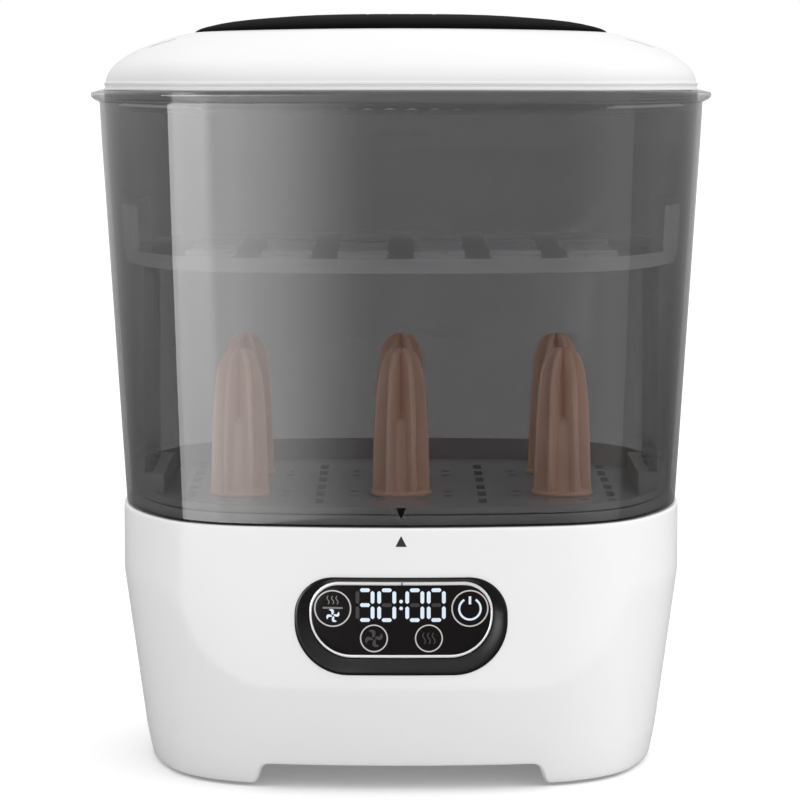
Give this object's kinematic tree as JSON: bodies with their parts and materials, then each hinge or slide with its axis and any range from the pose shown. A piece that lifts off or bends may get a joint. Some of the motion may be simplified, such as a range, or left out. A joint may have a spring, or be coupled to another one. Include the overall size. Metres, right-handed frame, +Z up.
{
  "type": "bottle sterilizer",
  "caption": "Countertop bottle sterilizer with drying fan: white base with touch panel, smoked clear sleeve, slotted trays with drying posts, domed lid with dark insert.",
  "frame": {"origin": "on the floor under the middle of the object's bounding box", "axes": "+Z up, the touch panel faces -Y, +X to the right as seen from the front"},
  "size_m": [0.2996, 0.2724, 0.359],
  "materials": {
    "basin_steel": "stainless steel",
    "bezel_black": "piano black",
    "brass_contact": "plated contact",
    "component_black": "moulded",
    "component_white": "moulded",
    "dark_insert": "smooth dark plastic with fine ribs",
    "display_body": "display housing",
    "filter_paper": "pleated filter paper",
    "foil_copper": "printed sensor film",
    "heater_metal": "bare aluminium",
    "impeller_plastic": "moulded",
    "inner_plastic": "unpainted moulded plastic",
    "panel_glass": "dark printed touch panel with backlit marks",
    "pcb_green": "solder mask",
    "post_brown": "satin terracotta brown plastic",
    "print_black": "printed ink",
    "rubber_grey": "matt rubber",
    "silicone_grey": "matt silicone",
    "smoke_clear": "smoke tinted clear copolyester, glossy",
    "smoke_dark": "satin dark plastic",
    "steel_screw": "zinc plated steel",
    "tray_dark": "satin dark grey plastic",
    "tray_smoke": "smoke translucent plastic",
    "trim_chrome": "bright plated ring",
    "underside_white": "fine moulded texture",
    "white_gloss": "high gloss moulded plastic",
    "wire_blue": "wire insulation",
    "wire_brown": "wire insulation"
  },
  "bodies": {
    "base": {"air_duct": "inner_plastic", "air_heater": "heater_metal", "air_outlet_grille": "tray_dark", "base_housing": "white_gloss", "base_pointer": "print_black", "basin_gasket": "silicone_grey", "board_standoffs": "brass_contact", "bottom_plate": "underside_white", "bottom_screws": "steel_screw", "control_board": "pcb_green", "control_board_parts": "component_black", "display_module": "display_body", "fan_motor": "heater_metal", "fan_scroll": "inner_plastic", "filter_pocket": "inner_plastic", "heater_element": "heater_metal", "heater_terminals": "brass_contact", "heating_basin": "basin_steel", "inlet_pins": "brass_contact", "mains_wire_live": "wire_brown", "mains_wire_neutral": "wire_blue", "panel_bezel": "bezel_black", "panel_bracket": "inner_plastic", "panel_screws": "steel_screw", "panel_trim_ring": "trim_chrome", "power_board": "pcb_green", "power_board_parts": "component_black", "power_inlet": "component_black", "rubber_feet": "rubber_grey", "scroll_cover": "inner_plastic", "thermal_fuse": "component_white", "thermostat": "heater_metal", "top_deck": "tray_dark", "touch_foil": "foil_copper", "touch_panel": "panel_glass"},
    "fan": {"fan_impeller": "impeller_plastic", "motor_shaft": "steel_screw"},
    "filter": {"filter_frame": "component_white", "filter_media": "filter_paper"},
    "filter_door": {"filter_cover": "white_gloss"},
    "bottle_rack": {"bottle_tray": "tray_dark", "bottle_posts_front": "post_brown", "bottle_posts_rear": "post_brown"},
    "upper_rack": {"upper_tray": "tray_smoke", "upper_tray_legs": "tray_smoke"},
    "sleeve": {"sleeve": "smoke_clear", "sleeve_pointer": "print_black"},
    "lid": {"lid_shell": "white_gloss", "lid_liner": "smoke_dark", "lid_seal": "silicone_grey", "lid_insert": "dark_insert", "lid_screws": "steel_screw"}
  },
  "joints": [
    {"name": "sleeve_lift", "type": "slide", "parent": "base", "child": "sleeve", "axis": [0, 0, 1], "range_m": [0, 0.05]},
    {"name": "lid_lift", "type": "slide", "parent": "sleeve", "child": "lid", "axis": [0, 0, 1], "range_m": [0, 0.08]},
    {"name": "bottle_rack_lift", "type": "slide", "parent": "base", "child": "bottle_rack", "axis": [0, 0, 1], "range_m": [0, 0.02]},
    {"name": "upper_rack_lift", "type": "slide", "parent": "bottle_rack", "child": "upper_rack", "axis": [0, 0, 1], "range_m": [0, 0.022]},
    {"name": "fan_spin", "type": "hinge", "parent": "base", "child": "fan", "pos_m": [-0.038, 0.022, 0.04], "axis": [0, 0, 1], "continuous": true},
    {"name": "filter_pull", "type": "slide", "parent": "base", "child": "filter", "axis": [0, 1, 0], "range_m": [0, 0.045]},
    {"name": "filter_door_pull", "type": "slide", "parent": "filter", "child": "filter_door", "axis": [0, 1, 0], "range_m": [0, 0.04]}
  ]
}
